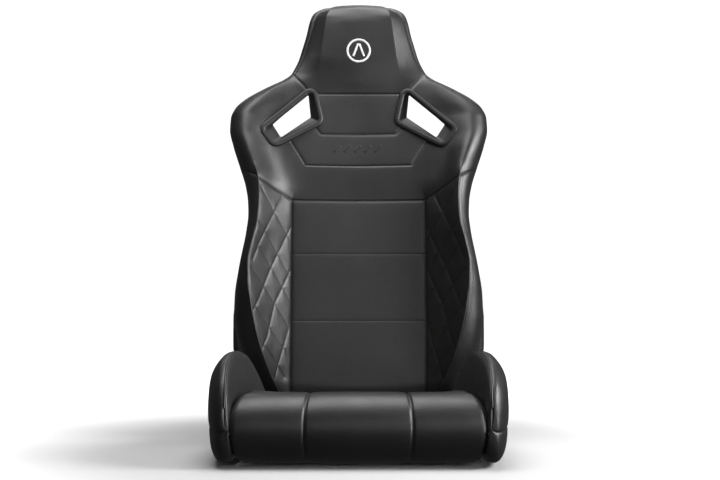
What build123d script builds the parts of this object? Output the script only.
"""Reclining racing seat: a bucket cushion on a steel base, and a winged backrest on two disc recliners.

Millimetres. The origin is the centre of the four floor bolts, on the floor. +X is the sitter's
left, -Y is the front and +Z is up. The backrest is drawn on its own leaning axes: x runs across,
v runs up the back from the hinge axis, and f runs forward from that axis.
"""

import os
from math import cos, radians, sin

from build123d import *

os.makedirs("parts", exist_ok=True)

# ---- driving dimensions ---------------------------------------------------------------------
BACK_LEAN = 12.0  # degrees from upright, as delivered
PIVOT_Y, PIVOT_Z = 205.0, 110.0  # recliner axis
BOLT_X, BOLT_Y = 290.0, 330.0  # floor bolt spacing
BOLT_HOLE_R = 4.5
NUT_BORE_R = 4.05  # clears an M8 stud

BACK_HEIGHT = 835.0  # hinge axis to the top of the head pad
BACK_HALF = 300.0  # more than the backrest's half width, for cutting tools
BACK_DEPTH = 200.0  # more than the backrest's depth, for cutting tools
PAD_BACK_F = 12.0  # rear face of the sewn pads
CORE_BACK_F = -30.0  # rear face of the moulded foam
COVER_BACK_F = -34.0  # rear face of the rear cover
INSERT_F = 53.0  # front face of the centre insert
INSERT_HALF = 142.0
INSERT_TOP, INSERT_BOTTOM = 392.0, -28.0
YOKE_SLOPE = 0.561  # rise of the seam from the insert's corner out to the wing

TUBE_R, TUBE_WALL = 11.0, 2.0
FRAME_F = -9.0  # centre of the hoop tube, inside the foam
LEG_X = 211.0
LEG_FOOT_V = 52.0

PLATE_X, PLATE_T = 204.0, 3.0  # base side plate: inner face and thickness
DISC_R = 38.0
ROD_R = 6.0
ROD_BORE_R = 6.08
FIXED_DISC_X = (207.0, 214.0)
MOVING_DISC_X = (214.3, 222.0)
ARM_T = 4.0
RECLINER_BOLT_R = 4.0
RECLINER_BOLT_HEAD = 6.5
HINGE_COVER_R = 60.0
HINGE_COVER_X = (231.0, 262.0)
HINGE_COVER_WALL = 2.5
HINGE_CLEAR_R = 62.5  # the backrest stays outside this, beside the covers
PLATE_CLEAR_R = 46.0  # and outside this, beside the side plates

ROLL_R = 66.0
ROLL_Y, ROLL_Z = -205.0, 70.0
ROLL_REAR_Y = -189.0
ROLL_HALF, ROLL_FLARE = 217.0, 0.333  # half width over the roll's centre, and its growth forwards
CUSHION_REAR_Y = 130.0
CENTRE_HALF = 92.0
FOAM_BOTTOM_Z = 52.0
PAD_T = 20.0  # thickness of the sewn pads on the cushion

RAIL_W, RAIL_H, RAIL_WALL = 30.0, 20.0, 2.0
RAIL_FRONT_Y, RAIL_REAR_Y = -186.0, 195.0
CROSS_TUBE_R = 12.5
CROSS_TUBE_Y = 140.0
WIRE_R = 1.7
SPRING_SWING, SPRING_PITCH = 13.0, 34.0

LEAN = radians(BACK_LEAN)
PIVOT = (0, PIVOT_Y, PIVOT_Z)
BACK = Plane(origin=PIVOT, x_dir=(1, 0, 0), z_dir=(0, -cos(LEAN), sin(LEAN)))


def back_point(x, v, f):
    """A point given on the backrest's own axes, in the seat's frame."""
    return BACK.from_local_coords((x, v, f))


def across_back(v):
    """The plane across the backrest at height v, with x across and y forward."""
    return Plane(origin=back_point(0, v, 0), x_dir=(1, 0, 0), z_dir=-BACK.y_dir)


def across_cushion(y):
    """The upright plane across the cushion at y, with x across and y up."""
    return Plane(origin=(0, y, 0), x_dir=(1, 0, 0), z_dir=(0, -1, 0))


def side_plane(x):
    """The upright fore-and-aft plane at x, with its own x to the rear and y up."""
    return Plane(origin=(x, 0, 0), x_dir=(0, 1, 0), z_dir=(1, 0, 0))


def save(piece, name):
    """Label one finished piece and write it as its own STEP file."""
    piece.label = name
    export_step(piece, f"parts/{name}.step")


def save_pair(piece, name):
    """Write a piece modelled on the +X side, and its mirror image on the -X side."""
    save(piece, f"{name}_left")
    save(piece.mirror(Plane.YZ), f"{name}_right")


# ---- outlines of the backrest ---------------------------------------------------------------
def back_outline(foot_v):
    """The backrest seen square on, from its head down to foot_v."""
    with BuildSketch() as outline:
        with BuildLine():
            Line((0, BACK_HEIGHT), (56, BACK_HEIGHT))
            Spline(
                (56, BACK_HEIGHT), (97, 818), (114, 775), (131, 716), (148, 680),
                tangents=((1, 0), (0.7, -1)),
            )
            Line((148, 680), (160, 665))
            Spline(
                (160, 665), (200, 640), (246, 606), (273, 575), (273, 533), (246, 448),
                (231, 360), (239, 275), (254, 180), (262, 120),
                tangents=((0.85, -0.6), (0.05, -1)),
            )
            Polyline((262, 120), (262, foot_v), (0, foot_v))  # the widest part of the hips
            mirror(about=Plane.YZ)
        make_face()
    return outline.sketch_local


def mirrored_face(*points):
    """A face from the right half of its outline, which starts and ends on the centre line."""
    with BuildSketch() as face:
        with BuildLine():
            Polyline(*points)
            mirror(about=Plane.YZ)
        make_face()
    return face.sketch_local


# Seam from the neck, over the harness slots, to the notch between head and shoulder.
HEAD_SEAM = ((0, 631), (84, 631), (112, 640), (170, 703))
HEAD_ROOM_TOP = BACK_HEIGHT + 25
HEAD_ROOM = mirrored_face(*HEAD_SEAM, (HEAD_SEAM[-1][0], HEAD_ROOM_TOP), (0, HEAD_ROOM_TOP))

# ---- harness slots --------------------------------------------------------------------------
SLOT_FRONT = ((104, 625), (88, 569), (180, 519), (199, 543))  # corners on the shoulder
SLOT_REAR = ((116, 650), (107, 599), (173, 557), (191, 583))  # corners at the rear cover
SLOT_CORNER_R = 8.0
SLEEVE_T = 3.0
FLANGE_W = 12.0
SLOT_X, BEZEL_F, BEZEL_T = 140.0, 60.0, 7.0
BEZEL_SINK = 3.0  # the bezel beds into the pad by this much
BEZEL_BED = 40.0  # clear height above the bezel's bed
REAR_BEZEL_T = 4.0
SLOT_TILT = radians(8.5)  # the bezel turns with the wing of the shoulder
BEZEL_PLANE = Plane(
    origin=back_point(SLOT_X, 0, BEZEL_F),
    x_dir=BACK.x_dir * cos(SLOT_TILT) + BACK.z_dir * sin(SLOT_TILT),
    z_dir=BACK.z_dir * cos(SLOT_TILT) - BACK.x_dir * sin(SLOT_TILT),
)
SLOT_FRONT_LOCAL = [(x - SLOT_X, v) for x, v in SLOT_FRONT]


def slot_face(corners, grow):
    """A slot's outline, grown outwards, with rounded corners."""
    with BuildSketch() as face:
        with BuildLine():
            Polyline(*corners, close=True)
        make_face()
        if grow:
            offset(amount=grow, kind=Kind.INTERSECTION)
        fillet(face.vertices(), SLOT_CORNER_R + grow)
    return face.sketch_local


def slot_tunnel(grow):
    """The slanting tunnel of the +X slot, from the bezel's face to the rear bezel's face."""
    with BuildPart() as tunnel:
        with BuildSketch(BEZEL_PLANE.offset(BEZEL_T)):
            add(slot_face(SLOT_FRONT_LOCAL, grow))
        with BuildSketch(BACK.offset(COVER_BACK_F - REAR_BEZEL_T)):
            add(slot_face(SLOT_REAR, grow))
        loft()
    return tunnel.part


def bezel_block(rise):
    """The outside of the +X bezel's flange, from its bed up to a given rise."""
    with BuildPart() as block:
        with BuildSketch(BEZEL_PLANE.offset(-BEZEL_SINK)):
            add(slot_face(SLOT_FRONT_LOCAL, FLANGE_W))
        extrude(amount=BEZEL_SINK + rise)
    return block.part


SLEEVE_OUTSIDE = slot_tunnel(SLEEVE_T)
SLEEVE_INSIDE = slot_tunnel(0)


def cut_slots():
    """Open both harness slots through the part being built."""
    add(SLEEVE_OUTSIDE, mode=Mode.SUBTRACT)
    add(SLEEVE_OUTSIDE.mirror(Plane.YZ), mode=Mode.SUBTRACT)


PLATE_ROOM_X = (PLATE_X - 5, 229.0)  # where the side plates and recliner bolts turn past the backrest
COVER_ROOM_X = (228.0, BACK_HALF)


def cut_hinge_room():
    """Keep the part being built clear of the side plates and the hinge covers."""
    for side in (1, -1):
        for radius, (start, stop) in ((PLATE_CLEAR_R, PLATE_ROOM_X), (HINGE_CLEAR_R, COVER_ROOM_X)):
            with Locations(Location((side * (start + stop) / 2, PIVOT_Y, PIVOT_Z), (0, 90, 0))):
                Cylinder(radius, stop - start, mode=Mode.SUBTRACT)


# ---- backrest frame -------------------------------------------------------------------------
HOOP = ((LEG_X, LEG_FOOT_V), (LEG_X, 360), (231, 590), (124, 661), (94, 715), (84, 790))
HOOP_RADII = (120, 40, 60, 60, 32)


def hoop_solid(radius):
    """A tube's outside or bore along the hoop."""
    right = list(HOOP)
    left = [(-x, v) for x, v in reversed(HOOP)]
    with BuildPart() as hoop:
        with BuildLine(BACK.offset(FRAME_F)) as path:
            FilletPolyline(*right, *left, radius=list(HOOP_RADII) + list(reversed(HOOP_RADII)))
        with BuildSketch(Plane(origin=path.line @ 0, z_dir=path.line % 0)):
            Circle(radius)
        sweep()
    return hoop.part


HOOP_OUTSIDE = hoop_solid(TUBE_R)

with BuildPart() as back_hoop:
    add(HOOP_OUTSIDE)
    add(hoop_solid(TUBE_R - TUBE_WALL), mode=Mode.SUBTRACT)
save(back_hoop.part, "back_hoop_tube")

BACK_CROSS_V = (80.0, 470.0)
BACK_CROSS_HALF = (LEG_X - TUBE_R, 208.0)
CROSS_R = 8.0
with BuildPart() as back_cross:
    for height, half in zip(BACK_CROSS_V, BACK_CROSS_HALF):
        centre = back_point(0, height, FRAME_F)
        with Locations(Location(centre, (0, 90, 0))):
            Cylinder(CROSS_R, 2 * half)
            Cylinder(CROSS_R - TUBE_WALL, 2 * half, mode=Mode.SUBTRACT)
    add(HOOP_OUTSIDE, mode=Mode.SUBTRACT)
save(back_cross.part, "back_cross_tubes")

SPRING_ROWS = (165.0, 235.0, 305.0, 375.0)
SPRING_F = FRAME_F - TUBE_R - WIRE_R  # the wires bear on the rear of the hoop
BACK_SPRING_HALF = 214.0


def spring_on(plane, half, swing, pitch):
    """One wavy spring of round wire along a plane's x axis, straight at both ends."""
    count = int((2 * half - pitch) / pitch)
    start = -pitch * count / 2
    peaks = [(start + pitch * (i + 0.5), swing if i % 2 else -swing) for i in range(count)]
    with BuildPart() as spring:
        with BuildLine() as path:
            Spline((-half, 0), (start - pitch / 2, 0), *peaks, (-start + pitch / 2, 0), (half, 0))
        with BuildSketch(Plane(origin=path.line @ 0, z_dir=path.line % 0)):
            Circle(WIRE_R)
        sweep()
    return spring.part.moved(plane.location)


with BuildPart() as back_springs:
    for row in SPRING_ROWS:
        wire_plane = Plane(origin=back_point(0, row, SPRING_F), x_dir=(1, 0, 0), z_dir=BACK.z_dir)
        add(spring_on(wire_plane, BACK_SPRING_HALF, SPRING_SWING, SPRING_PITCH))
save(back_springs.part, "back_springs")

# ---- recliners ------------------------------------------------------------------------------
RING_R = (38.4, 41.5)
RING_X = (207.0, 221.5)
BOLT_CIRCLE_R = 27.0
FIXED_BOLT_ANGLES = (90, 210, 330)
MOVING_BOLT_ANGLES = (30, 150, 270)
ROD_CLEAR_R = 7.5
ARM_X = (222.0, 226.0)
ARM_TOP_V = 150.0
ARM_F = (-29.0, 11.0)
BOLT_HEAD_T, ARM_BOLT_HEAD_T = 4.0, 3.0


def disc_points(angles, lean=0):
    """Bolt centres round the recliner axis, on a side plane."""
    spots = []
    for angle in angles:
        turn = radians(angle + lean)
        spots.append((PIVOT_Y + BOLT_CIRCLE_R * cos(turn), PIVOT_Z + BOLT_CIRCLE_R * sin(turn)))
    return spots


def disc(x_range, outer, bore, bolt_angles):
    """A round plate about the recliner axis with a bore and three bolt holes."""
    with BuildPart() as plate:
        with BuildSketch(side_plane(x_range[0])):
            with Locations((PIVOT_Y, PIVOT_Z)):
                Circle(outer)
                Circle(bore, mode=Mode.SUBTRACT)
            if bolt_angles:
                with Locations(*disc_points(bolt_angles)):
                    Circle(RECLINER_BOLT_R, mode=Mode.SUBTRACT)
        extrude(amount=x_range[1] - x_range[0])
    return plate.part


def bolts(shank_x, head_x, angles):
    """Three recliner bolts, each a shank and a head."""
    with BuildPart() as screws:
        for x_range, radius in ((shank_x, RECLINER_BOLT_R), (head_x, RECLINER_BOLT_HEAD)):
            with BuildSketch(side_plane(x_range[0])):
                with Locations(*disc_points(angles)):
                    Circle(radius)
            extrude(amount=x_range[1] - x_range[0])
    return screws.part


save_pair(disc(FIXED_DISC_X, RING_R[0], ROD_BORE_R, FIXED_BOLT_ANGLES), "recliner_fixed_disc")
save_pair(disc(MOVING_DISC_X, DISC_R, ROD_BORE_R, MOVING_BOLT_ANGLES), "recliner_moving_disc")
save_pair(disc(RING_X, RING_R[1], RING_R[0], ()), "recliner_ring")
fixed_head_x = (PLATE_X - BOLT_HEAD_T, PLATE_X)
save_pair(bolts((PLATE_X, FIXED_DISC_X[1]), fixed_head_x, FIXED_BOLT_ANGLES), "recliner_bolts")
arm_head_x = (ARM_X[1], ARM_X[1] + ARM_BOLT_HEAD_T)
save_pair(bolts((MOVING_DISC_X[0], ARM_X[1]), arm_head_x, MOVING_BOLT_ANGLES), "arm_bolts")

with BuildPart() as arm:
    with BuildSketch(side_plane(ARM_X[0])):
        with BuildLine():
            foot = [back_point(0, 0, ARM_F[1]), back_point(0, ARM_TOP_V, ARM_F[1])]
            top = [back_point(0, ARM_TOP_V, ARM_F[0]), back_point(0, 0, ARM_F[0])]
            Polyline(*[(p.Y, p.Z) for p in foot + top], close=True)
        make_face()
        with Locations((PIVOT_Y, PIVOT_Z)):
            Circle(RING_R[1])
            Circle(ROD_CLEAR_R, mode=Mode.SUBTRACT)
        with Locations(*disc_points(MOVING_BOLT_ANGLES)):
            Circle(RECLINER_BOLT_R, mode=Mode.SUBTRACT)
    extrude(amount=ARM_T)
save_pair(arm.part, "recliner_arm")

# ---- base frame -----------------------------------------------------------------------------
TUBE_Z = RAIL_H + CROSS_TUBE_R
PLATE_HUB_R = 42.0

with BuildPart() as rail:
    with Locations((BOLT_X / 2, (RAIL_FRONT_Y + RAIL_REAR_Y) / 2, RAIL_H / 2)):
        Box(RAIL_W, RAIL_REAR_Y - RAIL_FRONT_Y, RAIL_H)
        Box(RAIL_W - 2 * RAIL_WALL, RAIL_REAR_Y - RAIL_FRONT_Y, RAIL_H - 2 * RAIL_WALL, mode=Mode.SUBTRACT)
    with Locations((BOLT_X / 2, BOLT_Y / 2, 0), (BOLT_X / 2, -BOLT_Y / 2, 0)):
        Cylinder(BOLT_HOLE_R, 2 * RAIL_WALL, mode=Mode.SUBTRACT)
save_pair(rail.part, "mounting_rail")

NUT_ACROSS, NUT_H = 13.0, 6.5
with BuildPart() as weld_nuts:
    with BuildSketch(Plane.XY.offset(RAIL_WALL)):
        with GridLocations(BOLT_X, BOLT_Y, 2, 2):
            RegularPolygon(NUT_ACROSS / 2, 6, major_radius=False)
            Circle(NUT_BORE_R, mode=Mode.SUBTRACT)
    extrude(amount=NUT_H)
save(weld_nuts.part, "weld_nuts")

for tube_name, tube_y in (("front_cross_tube", -CROSS_TUBE_Y), ("rear_cross_tube", CROSS_TUBE_Y)):
    with BuildPart() as cross_tube:
        with Locations(Location((0, tube_y, TUBE_Z), (0, 90, 0))):
            Cylinder(CROSS_TUBE_R, 2 * PLATE_X)
            Cylinder(CROSS_TUBE_R - TUBE_WALL, 2 * PLATE_X, mode=Mode.SUBTRACT)
    save(cross_tube.part, tube_name)

STANDOFFS = ((157, 45), (222, 62))  # cover fixings, on the side plate
STANDOFF_R, SCREW_R = 6.0, 2.5
PLATE_CORNER_R = 6.0
PLATE_SLOTS = ((-80, 39), (-10, 39), (60, 39))  # lightening slots
PLATE_SLOT_L, PLATE_SLOT_W = 50.0, 16.0
with BuildPart() as plate:
    with BuildSketch(side_plane(PLATE_X)):
        with BuildLine():
            Polyline(
                (-165, 22), (-165, 56), (132, 56), (165, 120), (205, 152), (247, 110), (238, 56), (205, 22),
                close=True,
            )
        make_face()
        fillet(vertices(), PLATE_CORNER_R)
        with Locations((PIVOT_Y, PIVOT_Z)):
            Circle(PLATE_HUB_R)
            Circle(ROD_CLEAR_R, mode=Mode.SUBTRACT)
        with Locations(*disc_points(FIXED_BOLT_ANGLES)):
            Circle(RECLINER_BOLT_R, mode=Mode.SUBTRACT)
        with Locations(*STANDOFFS):
            Circle(SCREW_R, mode=Mode.SUBTRACT)
        with Locations(*PLATE_SLOTS):
            SlotOverall(PLATE_SLOT_L, PLATE_SLOT_W, mode=Mode.SUBTRACT)
    extrude(amount=PLATE_T)
save_pair(plate.part, "side_plate")

with BuildPart() as standoffs:
    with BuildSketch(side_plane(PLATE_X + PLATE_T)):
        with Locations(*STANDOFFS):
            Circle(STANDOFF_R)
            Circle(SCREW_R, mode=Mode.SUBTRACT)
    extrude(amount=HINGE_COVER_X[0] - PLATE_X - PLATE_T)
save_pair(standoffs.part, "cover_standoffs")

COVER_TAIL, COVER_TAIL_R = (160, 46), 20.0  # the cover's front foot
COVER_EDGE_R = 7.0
with BuildPart() as hinge_cover:
    with BuildSketch(side_plane(HINGE_COVER_X[0])):
        with BuildLine():
            CenterArc((PIVOT_Y, PIVOT_Z), HINGE_COVER_R, 0, 360)
            CenterArc(COVER_TAIL, COVER_TAIL_R, 0, 360)
        make_hull()
    extrude(amount=HINGE_COVER_X[1] - HINGE_COVER_X[0])
    fillet(hinge_cover.faces().sort_by(Axis.X)[-1].edges(), COVER_EDGE_R)
    offset(amount=-HINGE_COVER_WALL, openings=hinge_cover.faces().sort_by(Axis.X)[0])
    with BuildSketch(side_plane(HINGE_COVER_X[0])):
        with Locations(*STANDOFFS):
            Circle(STANDOFF_R)
    extrude(amount=HINGE_COVER_X[1] - HINGE_COVER_X[0] - HINGE_COVER_WALL)
    with BuildSketch(side_plane(HINGE_COVER_X[0])):
        with Locations((PIVOT_Y, PIVOT_Z)):
            Circle(ROD_CLEAR_R)
        with Locations(*STANDOFFS):
            Circle(SCREW_R)
    extrude(amount=HINGE_COVER_X[1], mode=Mode.SUBTRACT)
save_pair(hinge_cover.part, "hinge_cover")

SCREW_HEAD_R, SCREW_HEAD_T = 4.5, 2.0
with BuildPart() as cover_screws:
    with BuildSketch(side_plane(PLATE_X)):
        with Locations(*STANDOFFS):
            Circle(SCREW_R)
    extrude(amount=HINGE_COVER_X[1] - PLATE_X)
    with BuildSketch(side_plane(HINGE_COVER_X[1])):
        with Locations(*STANDOFFS):
            Circle(SCREW_HEAD_R)
    extrude(amount=SCREW_HEAD_T)
save_pair(cover_screws.part, "cover_screws")

# ---- release handle -------------------------------------------------------------------------
ROD_HALF = 275.0
HUB_R, HUB_X = 14.0, (263.0, 275.0)
LEVER_REACH = 112.0
LEVER_X = (268.0, 273.0)
LEVER_HALF = (12.0, 8.0)  # half height of the lever at the hub and along the grip
GRIP_Y = (88.0, 152.0)
GRIP_R = 11.0
GRIP_WALL = (3.0, 5.0)  # rubber inside and outside the lever
GRIP_EDGE_R = 3.0

with BuildPart() as rod:
    with Locations(Location(PIVOT, (0, 90, 0))):
        Cylinder(ROD_R, 2 * ROD_HALF)
save(rod.part, "release_rod")

with BuildPart() as lever:
    with BuildSketch(side_plane(HUB_X[0])):
        with Locations((PIVOT_Y, PIVOT_Z)):
            Circle(HUB_R)
            Circle(ROD_R, mode=Mode.SUBTRACT)
    extrude(amount=HUB_X[1] - HUB_X[0])
    with BuildSketch(side_plane(LEVER_X[0])):
        with BuildLine():
            tip_y = PIVOT_Y - LEVER_REACH
            root, blade = LEVER_HALF
            Polyline(
                (PIVOT_Y, PIVOT_Z + root), (GRIP_Y[1], PIVOT_Z + blade), (tip_y, PIVOT_Z + blade),
                (tip_y, PIVOT_Z - blade), (GRIP_Y[1], PIVOT_Z - blade), (PIVOT_Y, PIVOT_Z - root),
                close=True,
            )
        make_face()
        with Locations((PIVOT_Y, PIVOT_Z)):
            Circle(HUB_R - 1, mode=Mode.SUBTRACT)
    extrude(amount=LEVER_X[1] - LEVER_X[0])
save_pair(lever.part, "release_lever")

with BuildPart() as grip:
    with BuildSketch(side_plane(LEVER_X[0] - GRIP_WALL[0])):
        with Locations(((GRIP_Y[0] + GRIP_Y[1]) / 2, PIVOT_Z)):
            SlotOverall(GRIP_Y[1] - GRIP_Y[0], 2 * GRIP_R)
    extrude(amount=LEVER_X[1] - LEVER_X[0] + sum(GRIP_WALL))
    fillet(grip.faces().sort_by(Axis.X)[-1].edges(), GRIP_EDGE_R)
    add(lever.part, mode=Mode.SUBTRACT)
save_pair(grip.part, "lever_grip")

SPRING_COIL_R, COIL_WIRE_R = 12.0, 1.25
COIL_PITCH, COIL_LENGTH, COIL_X = 4.0, 20.0, 236.0
with BuildPart() as return_spring:
    with BuildLine() as coil:
        coil_start = (COIL_X, PIVOT_Y, PIVOT_Z)
        Helix(COIL_PITCH, COIL_LENGTH, SPRING_COIL_R, center=coil_start, direction=(1, 0, 0))
    with BuildSketch(Plane(origin=coil.line @ 0, z_dir=coil.line % 0)):
        Circle(COIL_WIRE_R)
    sweep(is_frenet=True)
save_pair(return_spring.part, "lever_return_spring")

# ---- cushion --------------------------------------------------------------------------------
SEAT_SPRING_X = (-150.0, -75.0, 0.0, 75.0, 150.0)
SEAT_SPRING_Z = TUBE_Z + CROSS_TUBE_R + WIRE_R
SEAT_SPRING_HALF = CROSS_TUBE_Y + 6.0
CLIP_W, CLIP_L, CLIP_H = 12.0, 18.0, 6.0
CUSHION_TOP = ((-189, 124), (-120, 124), (-30, 112), (60, 96), (130, 84))  # y and z behind the roll
CORE_HALF = 203.5
PAD_HALF = 207.5


def seat_springs_solid():
    """The five wavy wires between the cross tubes."""
    with BuildPart() as wires:
        for x in SEAT_SPRING_X:
            plane = Plane(origin=(x, 0, SEAT_SPRING_Z), x_dir=(0, 1, 0), z_dir=(0, 0, 1))
            add(spring_on(plane, SEAT_SPRING_HALF, SPRING_SWING, SPRING_PITCH))
    return wires.part


SEAT_SPRINGS = seat_springs_solid()
save(SEAT_SPRINGS, "seat_springs")

with BuildPart() as clips:
    for y in (-CROSS_TUBE_Y, CROSS_TUBE_Y):
        with Locations(*[(x, y, TUBE_Z + CROSS_TUBE_R) for x in SEAT_SPRING_X]):
            Box(CLIP_W, CLIP_L, 2 * CLIP_H)
    for y in (-CROSS_TUBE_Y, CROSS_TUBE_Y):
        with Locations(Location((0, y, TUBE_Z), (0, 90, 0))):
            Cylinder(CROSS_TUBE_R, 2 * PLATE_X, mode=Mode.SUBTRACT)
    add(SEAT_SPRINGS, mode=Mode.SUBTRACT)
    split(bisect_by=Plane.XY.offset(TUBE_Z + CROSS_TUBE_R - CLIP_H), keep=Keep.TOP)
save(clips.part, "spring_clips")


def cushion_layer(x_from, x_to, drop_top, drop_bottom):
    """A layer of the cushion between two depths below its top, from x_from to x_to."""
    upper = [(y, z - drop_top) for y, z in CUSHION_TOP]
    lower = [(y, z - drop_bottom) for y, z in CUSHION_TOP]
    with BuildPart() as layer:
        with BuildSketch(side_plane(x_from)):
            with BuildLine():
                Spline(*upper)
                Spline(*lower)
                Line(upper[0], lower[0])
                Line(upper[-1], lower[-1])
            make_face()
        extrude(amount=x_to - x_from)
    return layer.part


with BuildPart() as seat_core:
    with BuildSketch(side_plane(-CORE_HALF)):
        with BuildLine():
            Spline(*[(y, z - PAD_T) for y, z in CUSHION_TOP])
            Polyline(
                (CUSHION_REAR_Y, CUSHION_TOP[-1][1] - PAD_T), (CUSHION_REAR_Y, FOAM_BOTTOM_Z),
                (ROLL_REAR_Y, FOAM_BOTTOM_Z), (ROLL_REAR_Y, CUSHION_TOP[0][1] - PAD_T),
            )
        make_face()
    extrude(amount=2 * CORE_HALF)
save(seat_core.part, "seat_foam_core")

save(cushion_layer(-CENTRE_HALF, CENTRE_HALF, 0, PAD_T), "cushion_centre_pad")
save_pair(cushion_layer(CENTRE_HALF, PAD_HALF, 0, PAD_T), "cushion_side_pad")

with BuildPart() as roll:
    with BuildSketch(Plane.XY.offset(ROLL_Z - ROLL_R)):
        with BuildLine():
            ends = (ROLL_REAR_Y, ROLL_Y - ROLL_R)
            half = [ROLL_HALF - (y - ROLL_Y) * ROLL_FLARE for y in ends]
            Polyline(
                (-half[0], ends[0]), (half[0], ends[0]), (half[1], ends[1]), (-half[1], ends[1]), close=True,
            )
        make_face()
    extrude(amount=2 * ROLL_R)
    with Locations(Location((0, ROLL_Y, ROLL_Z), (0, 90, 0))):
        Cylinder(ROLL_R, 4 * ROLL_HALF, mode=Mode.INTERSECT)
save(roll.part, "front_roll")

# Each row: y, inner face x, outer face x, underside z, crest z.
BOLSTER_ROWS = (
    (-262, 233, 262, 30, 116),
    (-235, 230, 275, 12, 158),
    (-170, 226, 284, 6, 192),
    (-90, 219, 285, 6, 203),
    (0, 211, 278, 6, 178),
    (80, 209, 262, 8, 128),
    (CUSHION_REAR_Y, 209, 250, 14, 98),
)
with BuildPart() as cushion_bolster:
    for y, inner, outer, under, crest in BOLSTER_ROWS:
        width = outer - inner
        height = crest - under
        with BuildSketch(across_cushion(y)):
            with BuildLine():
                Polyline((inner + 0.7 * width, under), (inner, under), (inner, under + 0.72 * height))
                Spline(
                    (inner, under + 0.72 * height), (inner + 0.1 * width, under + 0.92 * height),
                    (inner + 0.4 * width, crest), (inner + 0.72 * width, under + 0.89 * height),
                    (outer - 0.03 * width, under + 0.65 * height), (outer, under + 0.4 * height),
                    (inner + 0.93 * width, under + 0.14 * height), (inner + 0.7 * width, under),
                )
            make_face()
    loft()
    add(roll.part, mode=Mode.SUBTRACT)
save_pair(cushion_bolster.part, "cushion_bolster")

# ---- backrest padding -----------------------------------------------------------------------
CORE_HIP = 196.0  # the foam stops here beside the recliner arms
ARM_ROOM_X = 228.5
CORE_FOOT_V = 62.0
ARM_ROOM_V = 156.0
POCKET = (216.0, 130.0, 410.0)  # half width, foot and top of the hollow round the springs
POCKET_F = -17.0

with BuildPart() as back_core:
    with BuildSketch(BACK.offset(CORE_BACK_F)):
        add(back_outline(CORE_FOOT_V))
    extrude(amount=PAD_BACK_F - CORE_BACK_F)
    with BuildSketch(BACK.offset(CORE_BACK_F)):
        for side in (1, -1):
            with Locations((side * (CORE_HIP + ARM_ROOM_X) / 2, 0)):
                Rectangle(ARM_ROOM_X - CORE_HIP, 2 * ARM_ROOM_V)
    extrude(amount=PAD_BACK_F - CORE_BACK_F, mode=Mode.SUBTRACT)
    with BuildSketch(BACK.offset(CORE_BACK_F)):
        with Locations((0, (POCKET[1] + POCKET[2]) / 2)):
            Rectangle(2 * POCKET[0], POCKET[2] - POCKET[1])
    extrude(amount=POCKET_F - CORE_BACK_F, mode=Mode.SUBTRACT)
    add(HOOP_OUTSIDE, mode=Mode.SUBTRACT)
    for height in BACK_CROSS_V:
        with Locations(Location(back_point(0, height, FRAME_F), (0, 90, 0))):
            Cylinder(CROSS_R, 2 * LEG_X, mode=Mode.SUBTRACT)
    cut_slots()
    cut_hinge_room()
save(back_core.part, "back_foam_core")

COVER_HIP_V, COVER_FOOT_V = 68.0, -40.0  # the wide part ends above the hinges; the tongue goes on down
TONGUE_TOP_V = 100.0
with BuildPart() as rear_cover:
    with BuildSketch(BACK.offset(COVER_BACK_F)):
        add(back_outline(COVER_HIP_V))
        with Locations((0, (TONGUE_TOP_V + COVER_FOOT_V) / 2)):
            Rectangle(2 * CORE_HIP, TONGUE_TOP_V - COVER_FOOT_V)
    extrude(amount=CORE_BACK_F - COVER_BACK_F)
    cut_slots()
    cut_hinge_room()
save(rear_cover.part, "rear_cover")

INSERT_EDGE_R = 9.0
with BuildPart() as insert_pad:
    with BuildSketch(BACK.offset(PAD_BACK_F)):
        with Locations((0, (INSERT_TOP + INSERT_BOTTOM) / 2)):
            Rectangle(2 * INSERT_HALF, INSERT_TOP - INSERT_BOTTOM)
    extrude(amount=INSERT_F - PAD_BACK_F)
    front = insert_pad.faces().sort_by(Axis(PIVOT, BACK.z_dir))[-1]
    fillet(front.edges(), INSERT_EDGE_R)
save(insert_pad.part, "back_insert_pad")

YOKE_SIDE_V = INSERT_TOP + YOKE_SLOPE * (BACK_HALF - INSERT_HALF)
WING_FOOT_V = -60.0
WING_SAG = (0.45, 0.36)  # place and depth of the wing's middle between the insert and the crest
# Each row: height v, then x and f of the crest, and x of the outer edge.
WING_ROWS = (
    (-27, 163, 58, 200),
    (60, 203, 116, 232),
    (130, 228, 143, 256),
    (210, 236, 148, 247),
    (300, 228, 141, 234),
    (390, 216, 128, 234),
    (480, 216, 118, 255),
)
with BuildPart() as back_bolster:
    for height, crest_x, crest_f, outer_x in WING_ROWS:
        with BuildSketch(across_back(height)):
            with BuildLine():
                Line((outer_x, PAD_BACK_F), (INSERT_HALF, PAD_BACK_F))
                Line((INSERT_HALF, PAD_BACK_F), (INSERT_HALF, INSERT_F - INSERT_EDGE_R))
                inner_x = INSERT_HALF + WING_SAG[0] * (crest_x - INSERT_HALF)
                inner_f = INSERT_F + WING_SAG[1] * (crest_f - INSERT_F)
                Spline(
                    (INSERT_HALF, INSERT_F - INSERT_EDGE_R), (inner_x, inner_f), (crest_x, crest_f),
                    (outer_x, crest_f - 0.3 * (crest_f - PAD_BACK_F)), (outer_x, PAD_BACK_F),
                    tangents=((0.5, 1), (0, -1)),
                )
            make_face()
    loft()
    with BuildSketch(BACK):
        with BuildLine():
            Polyline(
                (INSERT_HALF, INSERT_TOP), (BACK_HALF, YOKE_SIDE_V), (BACK_HALF, WING_FOOT_V),
                (INSERT_HALF, WING_FOOT_V), close=True,
            )
        make_face()
    extrude(amount=BACK_DEPTH, mode=Mode.INTERSECT)
    cut_hinge_room()
save_pair(back_bolster.part, "back_bolster")

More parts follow.
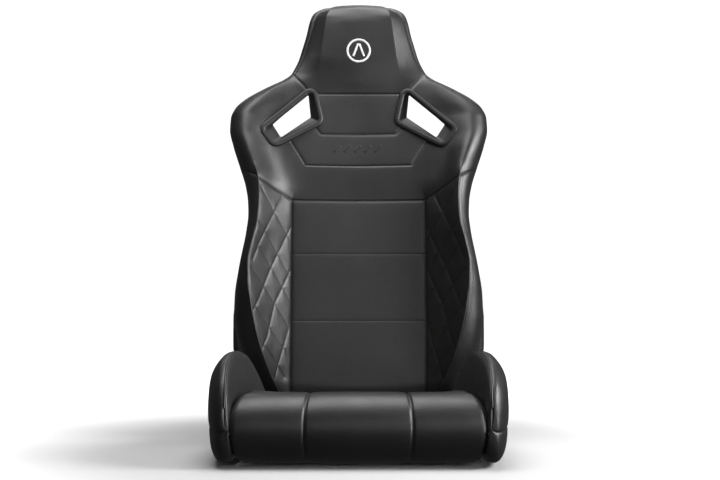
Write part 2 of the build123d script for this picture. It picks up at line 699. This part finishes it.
SHOULDER_PROFILE = ((85, 52), (140, 60), (214, 73), (245, 88), (262, 80), (275, 48))
SHOULDER_MID_F = 50.0
SHOULDER_FOOT_X = 276.0
SHOULDER_RISE = 320.0
with BuildPart() as shoulder:
    with BuildSketch(across_back(INSERT_TOP)):
        with BuildLine():
            mirrored = [(-x, f) for x, f in reversed(SHOULDER_PROFILE)]
            Line((SHOULDER_FOOT_X, PAD_BACK_F), (-SHOULDER_FOOT_X, PAD_BACK_F))
            Line((SHOULDER_FOOT_X, PAD_BACK_F), SHOULDER_PROFILE[-1])
            Line((-SHOULDER_FOOT_X, PAD_BACK_F), mirrored[0])
            Spline(*mirrored, (0, SHOULDER_MID_F), *SHOULDER_PROFILE)
        make_face()
    extrude(amount=-SHOULDER_RISE)
    with BuildSketch(BACK):
        add(back_outline(0))
        add(
            mirrored_face(
                (0, INSERT_TOP), (INSERT_HALF, INSERT_TOP), (BACK_HALF, YOKE_SIDE_V), (BACK_HALF, 0), (0, 0),
            ),
            mode=Mode.SUBTRACT,
        )
        add(HEAD_ROOM, mode=Mode.SUBTRACT)
    extrude(amount=BACK_DEPTH, mode=Mode.INTERSECT)
    bezel_bed = bezel_block(BEZEL_BED)
    add(bezel_bed, mode=Mode.SUBTRACT)
    add(bezel_bed.mirror(Plane.YZ), mode=Mode.SUBTRACT)
    cut_slots()
save(shoulder.part, "shoulder_pad")

HEAD_F = 66.0  # front face of the head pad
HEAD_PROFILE = ((36, HEAD_F), (100, 50), (146, 14))
HEAD_FOOT_V, HEAD_TURN_V = 600.0, 790.0  # below the seam, and where the face starts to turn over the top
HEAD_TOP_F = 30.0
with BuildPart() as head:
    with BuildSketch(across_back(HEAD_FOOT_V)):
        with BuildLine():
            far_x, far_f = HEAD_PROFILE[-1]
            Polyline((far_x, far_f), (far_x, PAD_BACK_F), (-far_x, PAD_BACK_F), (-far_x, far_f))
            Line(HEAD_PROFILE[0], (-HEAD_PROFILE[0][0], HEAD_F))
            Spline(*HEAD_PROFILE, tangents=((1, 0), (0.3, -1)))
            Spline(*[(-x, f) for x, f in HEAD_PROFILE], tangents=((-1, 0), (-0.3, -1)))
        make_face()
    extrude(amount=HEAD_FOOT_V - BACK_HEIGHT - 5)
    with BuildSketch(BACK):
        add(back_outline(0))
        add(HEAD_ROOM, mode=Mode.INTERSECT)
    extrude(amount=BACK_DEPTH, mode=Mode.INTERSECT)
    with BuildSketch(Plane(origin=back_point(-far_x, 0, 0), x_dir=BACK.y_dir, z_dir=(1, 0, 0))):
        with BuildLine():
            foot, turn, top = (HEAD_FOOT_V, HEAD_F), (HEAD_TURN_V, HEAD_F), (BACK_HEIGHT, HEAD_TOP_F)
            Polyline(foot, (HEAD_FOOT_V, PAD_BACK_F), (BACK_HEIGHT, PAD_BACK_F), top)
            Line(foot, turn)
            Spline(turn, (822, 54), top, tangents=((1, 0), (0.1, -1)))
        make_face()
    extrude(amount=2 * far_x, mode=Mode.INTERSECT)
    cut_slots()
save(head.part, "head_pad")

EMBLEM_R, EMBLEM_RIM, EMBLEM_T, EMBLEM_V = 26.0, 4.0, 1.2, 724.0
with BuildPart() as emblem:
    with BuildSketch(BACK.offset(HEAD_F)):
        with Locations((0, EMBLEM_V)):
            Circle(EMBLEM_R)
            Circle(EMBLEM_R - EMBLEM_RIM, mode=Mode.SUBTRACT)
            RegularPolygon(EMBLEM_R - 2 * EMBLEM_RIM, 3, rotation=90)
    extrude(amount=EMBLEM_T)
save(emblem.part, "head_emblem")

# ---- harness slot trims ---------------------------------------------------------------------
BEZEL_EDGE_R = 4.0
with BuildPart() as bezel:
    add(bezel_block(BEZEL_T))
    bezel_front = bezel.faces().sort_by(Axis(PIVOT, BEZEL_PLANE.z_dir))[-1]
    fillet(bezel_front.outer_wire().edges(), BEZEL_EDGE_R)
    add(SLEEVE_OUTSIDE)
    split(bisect_by=BACK.offset(COVER_BACK_F), keep=Keep.TOP)
    add(SLEEVE_INSIDE, mode=Mode.SUBTRACT)
save_pair(bezel.part, "harness_bezel")

with BuildPart() as rear_bezel:
    with BuildSketch(BACK.offset(COVER_BACK_F - REAR_BEZEL_T)):
        add(slot_face(SLOT_REAR, FLANGE_W))
    extrude(amount=REAR_BEZEL_T)
    add(SLEEVE_INSIDE, mode=Mode.SUBTRACT)
save_pair(rear_bezel.part, "harness_bezel_rear")
